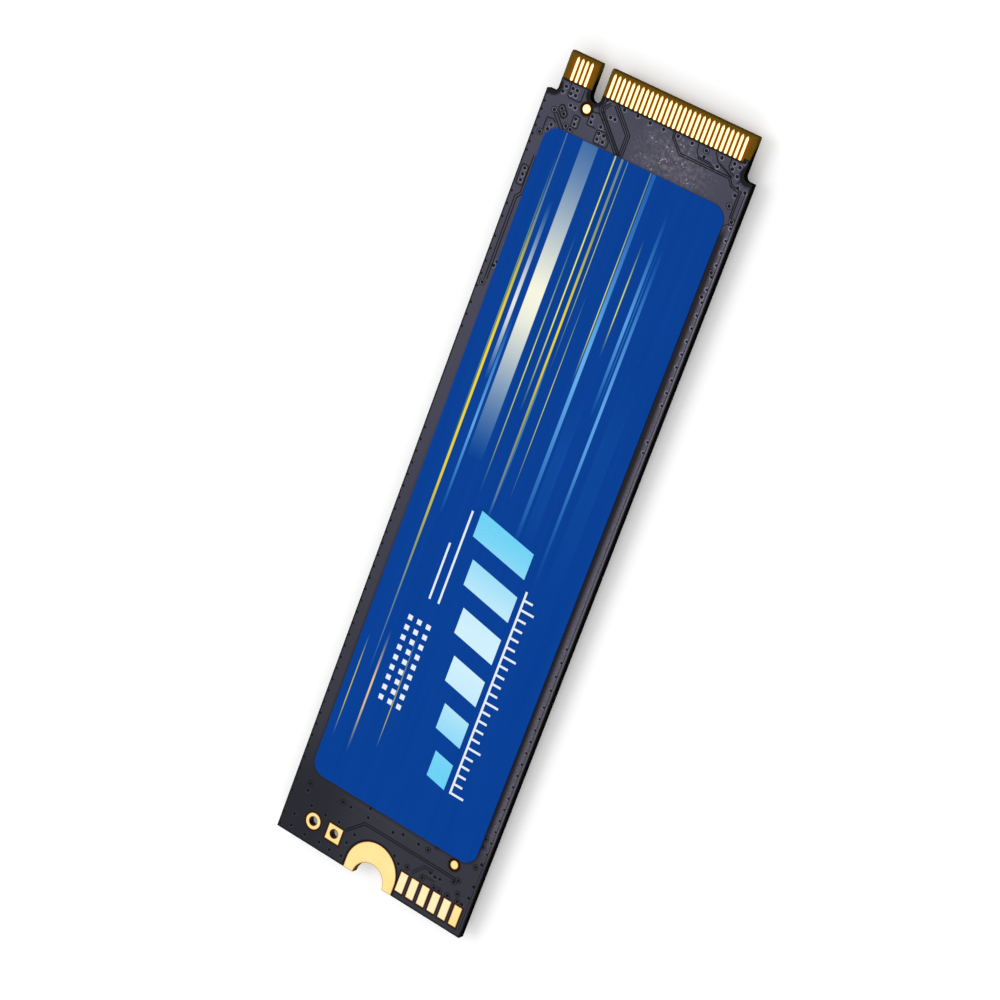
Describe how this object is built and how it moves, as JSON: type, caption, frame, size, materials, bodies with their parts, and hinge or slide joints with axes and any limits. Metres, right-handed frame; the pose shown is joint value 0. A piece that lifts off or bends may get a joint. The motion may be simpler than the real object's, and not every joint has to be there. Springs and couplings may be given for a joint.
{
  "type": "gumstick solid state drive",
  "caption": "Thin single-sided solid state drive board with a keyed edge connector, a half round screw notch, a printed label and chips on the hidden side.",
  "frame": {"origin": "under the centre of the board, level with the tops of the tallest chips, which are the surface it lies on", "axes": "+Y towards the edge connector, +Z out of the label side, +X to the right seen from the label side with the connector up; the short contact group is at -X"},
  "size_m": [0.022, 0.08, 0.0021],
  "materials": {
    "laminate": "satin glass-epoxy, olive brown",
    "solder_mask": "semi-gloss dark grey violet",
    "gold": "gold plating, smooth",
    "label_film": "smooth printed film, blue",
    "ink_yellow": "printed, yellow",
    "ink_light_blue": "printed, light blue",
    "ink_cream": "printed, pale cream",
    "ink_cyan": "printed, cyan to pale blue",
    "ink_white": "printed, white",
    "substrate": "satin dark green",
    "mould": "fine matt black moulding",
    "solder": "bright tin",
    "ferrite": "matt dark grey",
    "ceramic_tan": "smooth tan ceramic",
    "ceramic_white": "fine white ceramic",
    "coat_black": "glossy black glaze",
    "ceramic_dark": "dark ceramic",
    "steel_lid": "fine brushed"
  },
  "bodies": {
    "root": {"laminate_core": "laminate", "solder_mask_label_side": "solder_mask", "solder_mask_component_side": "solder_mask", "edge_contacts_label_side": "gold", "edge_contacts_component_side": "gold", "screw_pad_label_side": "gold", "screw_pad_component_side": "gold", "test_pads": "gold", "header_pad_round": "gold", "header_pad_square": "gold", "fiducial_dots_label_side": "gold", "fiducial_dots_component_side": "gold", "component_lands": "gold", "label_film": "label_film", "label_streaks_yellow": "ink_yellow", "label_streaks_blue": "ink_light_blue", "label_streaks_white": "ink_cream", "label_bars": "ink_cyan", "label_ticks_and_dots": "ink_white", "controller_substrate": "substrate", "controller_mould": "mould", "controller_balls": "solder", "cache_substrate": "substrate", "cache_mould": "mould", "cache_balls": "solder", "flash_1_substrate": "substrate", "flash_1_mould": "mould", "flash_1_balls": "solder", "flash_2_substrate": "substrate", "flash_2_mould": "mould", "flash_2_balls": "solder", "power_chip_body": "mould", "power_chip_solder": "solder", "inductor_1": "ferrite", "inductor_2": "ferrite", "inductor_3": "ferrite", "inductor_4": "ferrite", "inductor_terminals": "solder", "small_capacitors": "ceramic_tan", "small_capacitor_terminals": "solder", "large_capacitors": "ceramic_tan", "large_capacitor_terminals": "solder", "resistors": "ceramic_white", "resistor_coats": "coat_black", "resistor_terminals": "solder", "crystal_base": "ceramic_dark", "crystal_lid": "steel_lid", "boot_flash_body": "mould", "boot_flash_solder": "solder", "load_switch_body": "mould", "load_switch_leads": "solder"}
  },
  "joints": []
}
